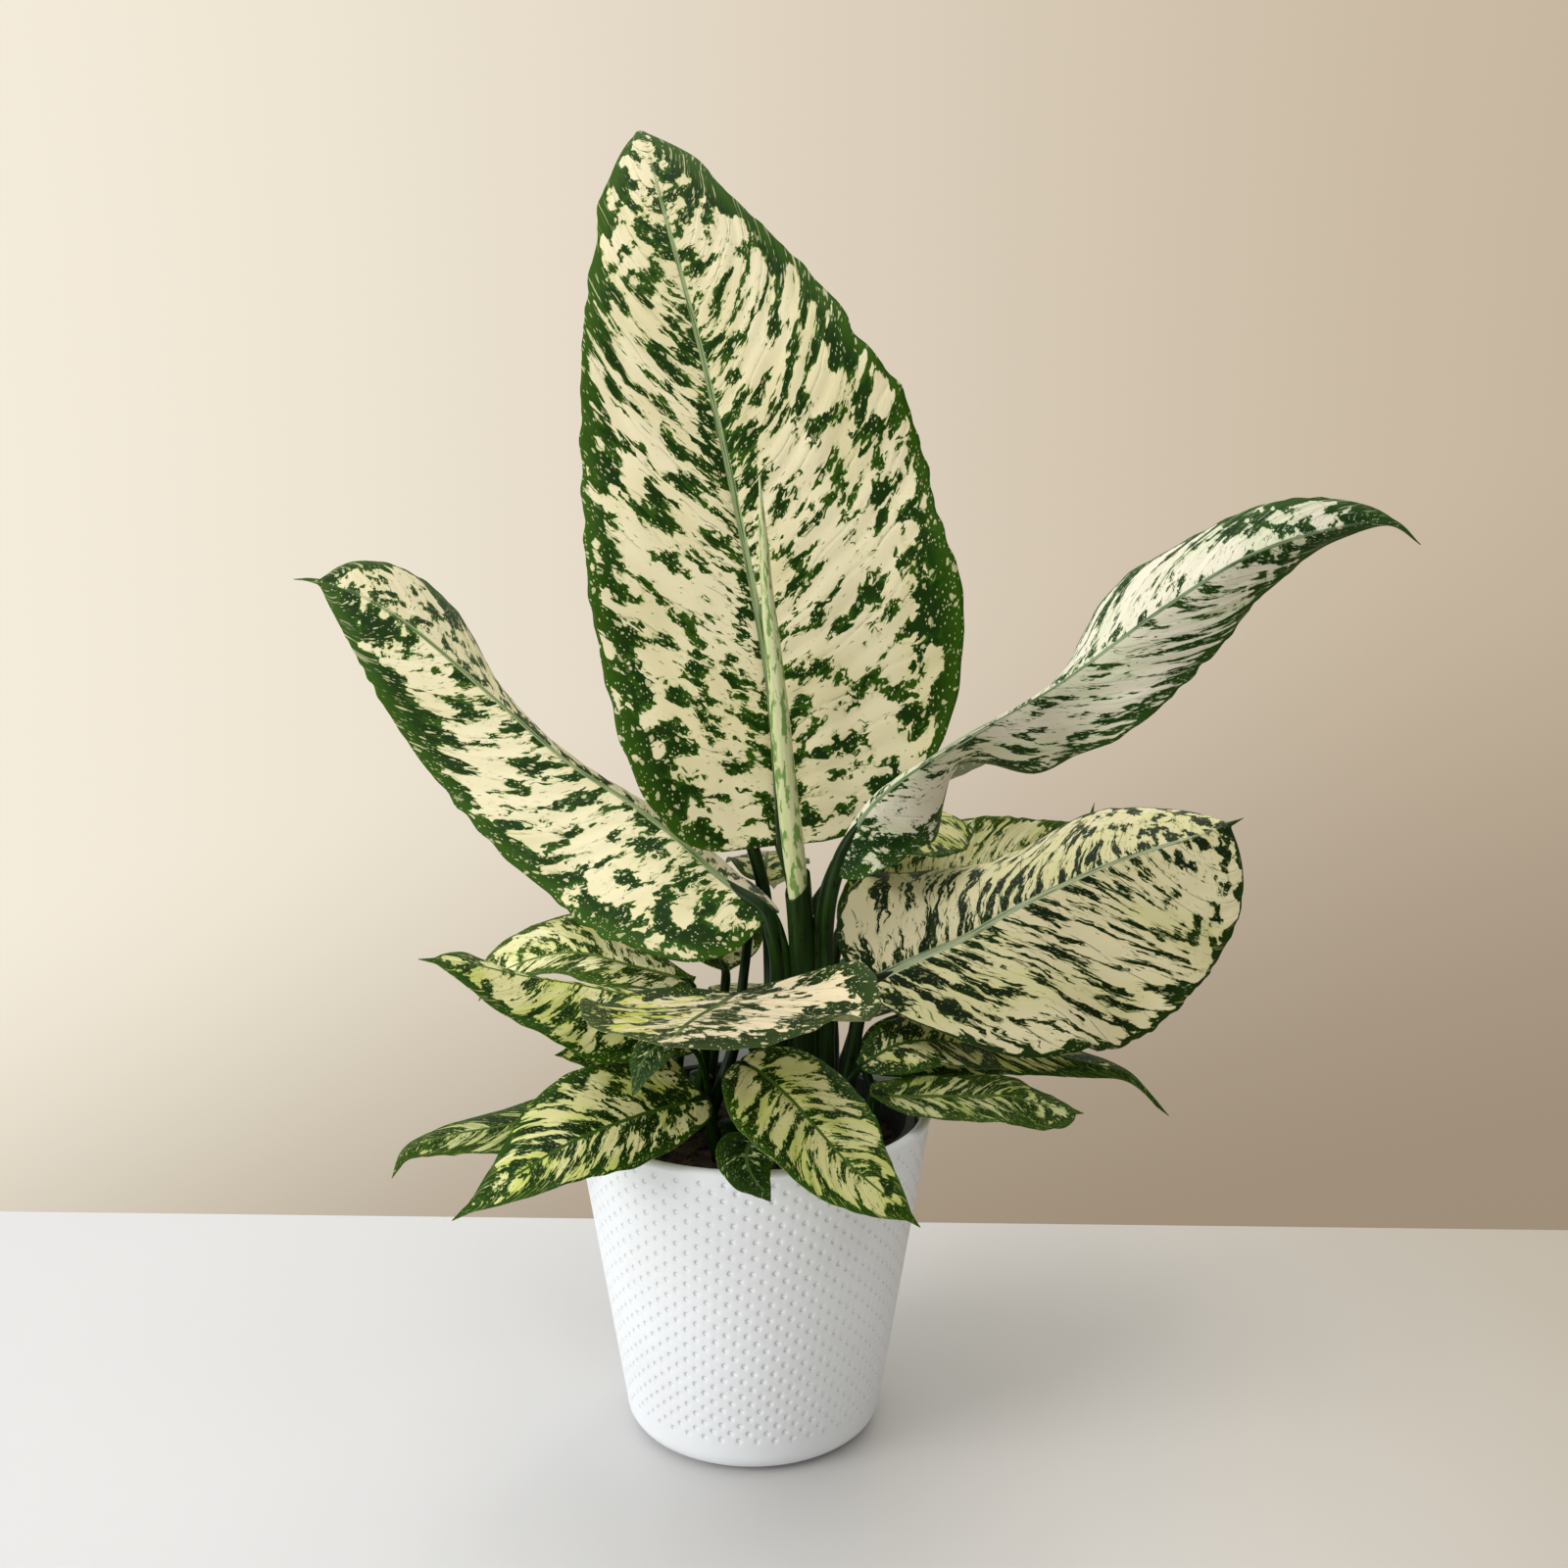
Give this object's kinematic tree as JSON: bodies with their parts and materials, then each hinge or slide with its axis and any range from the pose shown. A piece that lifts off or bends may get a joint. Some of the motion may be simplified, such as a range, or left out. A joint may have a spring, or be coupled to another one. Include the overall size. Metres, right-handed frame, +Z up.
{
  "type": "potted dieffenbachia plant",
  "caption": "Variegated broad-leaved houseplant in a round tapered glazed pot, with a nursery pot and soil inside, a rolled young leaf and low side shoots.",
  "frame": {"origin": "on the ground, on the pot's axis, under the middle of the pot", "axes": "+Z up along the pot's axis; -Y is the front of the plant, +X is to the right as seen from the front"},
  "size_m": [0.489, 0.33, 0.5495],
  "materials": {
    "glaze": "matte white glaze",
    "rubber": "black felt-like rubber",
    "plastic": "black thin nursery pot plastic",
    "soil": "dark crumbly potting soil",
    "stem": "glossy dark green stem and stalk",
    "young_leaf": "pale cream-green, smooth",
    "leaf": "cream with dark green blotches and margin, semi-gloss"
  },
  "bodies": {
    "root": {"pad_1": "rubber", "pad_2": "rubber", "pad_3": "rubber", "pot": "glaze", "nursery_pot": "plastic", "soil": "soil", "shoot_main": "stem", "shoot_left": "stem", "shoot_front": "stem", "shoot_right": "stem", "young_leaf": "young_leaf", "sheath": "stem", "leaf_upright": "leaf", "leaf_left_high": "leaf", "leaf_right_high": "leaf", "leaf_right_broad": "leaf", "leaf_right_back": "leaf", "leaf_right_far": "leaf", "leaf_back_pale": "leaf", "leaf_front": "leaf", "leaf_left_low": "leaf", "leaf_left_back": "leaf", "leaf_back_left": "leaf", "leaf_left_under": "leaf", "leaf_small_hanging": "leaf", "leaf_front_left": "leaf", "leaf_front_right": "leaf", "leaf_far_left": "leaf", "leaf_right_drooping": "leaf", "leaf_right_front": "leaf", "leaf_over_rim": "leaf", "leaf_right_dark": "leaf", "leaf_back_high": "leaf", "leaf_back_right": "leaf", "leaf_back_low": "leaf", "leaf_back_left_low": "leaf"}
  },
  "joints": []
}
